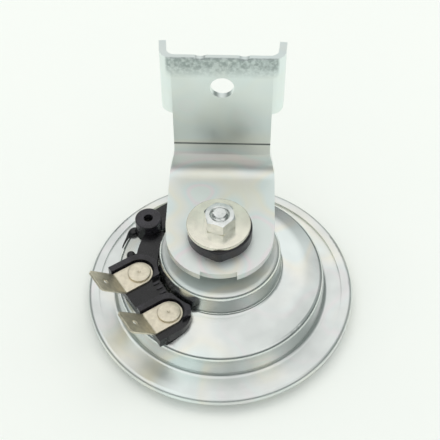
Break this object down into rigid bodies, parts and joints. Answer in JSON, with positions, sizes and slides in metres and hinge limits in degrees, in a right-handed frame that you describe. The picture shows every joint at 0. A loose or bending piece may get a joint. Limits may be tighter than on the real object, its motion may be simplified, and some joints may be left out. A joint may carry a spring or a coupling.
{
  "type": "car horn",
  "caption": "Disc-type electric car horn in zinc-plated steel with spade terminals and a bent steel mounting bracket",
  "frame": {"origin": "centre of the horn's round footprint, on the plane of its front face that it rests on", "axes": "+Z along the horn's axis from the front face to the back, +Y towards the upright plate of the mounting bracket, +X completes the right-handed set"},
  "size_m": [0.1, 0.1, 0.0876],
  "materials": {
    "zinc_plate": "satin",
    "zinc_bright": "satin",
    "spring_steel": "satin",
    "soft_iron": "satin",
    "black_rubber": "matte",
    "black_moulding": "matte",
    "black_lacquer": "gloss",
    "tinned_brass": "satin",
    "silver_contact": "satin",
    "copper_winding": "satin",
    "brown_board": "matte",
    "gasket_paper": "matte"
  },
  "bodies": {
    "root": {"rear_housing": "zinc_plate", "front_rim": "zinc_plate", "mounting_bracket": "zinc_plate", "washer": "zinc_bright", "mounting_nut": "zinc_bright", "pole_core": "zinc_bright", "spacer_sleeve": "zinc_bright", "upper_gasket": "gasket_paper", "lower_gasket": "gasket_paper", "diaphragm": "spring_steel", "armature": "soft_iron", "tone_disc": "zinc_plate", "hub_spacer": "soft_iron", "tone_disc_rivet": "soft_iron", "coil_bobbin": "black_moulding", "coil_winding": "copper_winding", "contact_base": "brown_board", "moving_contact_leaf": "spring_steel", "fixed_contact_arm": "spring_steel", "moving_contact_point": "silver_contact", "fixed_contact_point": "silver_contact", "adjusting_screw": "zinc_bright", "terminal_block": "black_moulding", "terminal_upper": "tinned_brass", "terminal_lower": "tinned_brass", "rivet_upper": "tinned_brass", "rivet_lower": "tinned_brass", "block_fixing_rivet": "zinc_bright", "sealant_dab": "black_lacquer", "rubber_bush": "black_rubber"}
  },
  "joints": []
}
